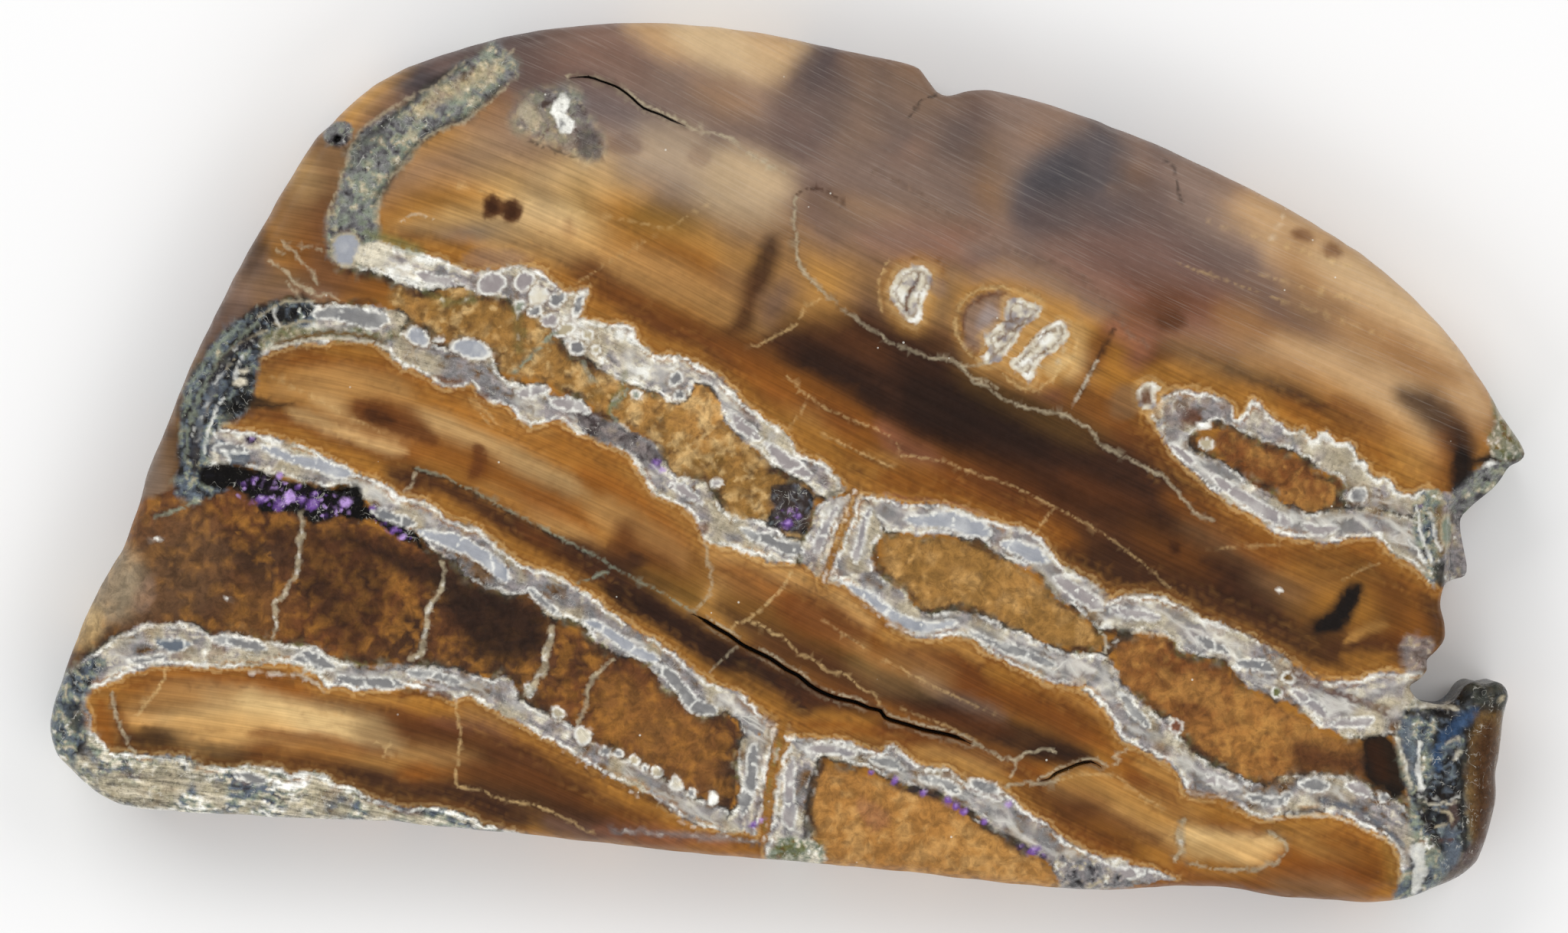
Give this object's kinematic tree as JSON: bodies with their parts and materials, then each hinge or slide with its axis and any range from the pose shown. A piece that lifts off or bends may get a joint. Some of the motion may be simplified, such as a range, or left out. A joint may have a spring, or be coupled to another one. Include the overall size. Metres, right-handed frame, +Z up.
{
  "type": "woolly mammoth tooth slice",
  "caption": "Polished flat slice of a fossil mammoth molar, D-shaped with one straight side and a broken end, showing folded enamel plates",
  "frame": {"origin": "On the resting back face, under the centre of the outline's bounding box", "axes": "+X along the length of the slice towards its broken end, +Y across it towards the arched edge, +Z up out of the polished show face"},
  "size_m": [0.0772, 0.046, 0.007],
  "materials": {
    "polished_tooth": "satin polish over brown fossil dentine, rust cement and white to grey enamel"
  },
  "bodies": {
    "root": {"tooth_slice": "polished_tooth"}
  },
  "joints": []
}
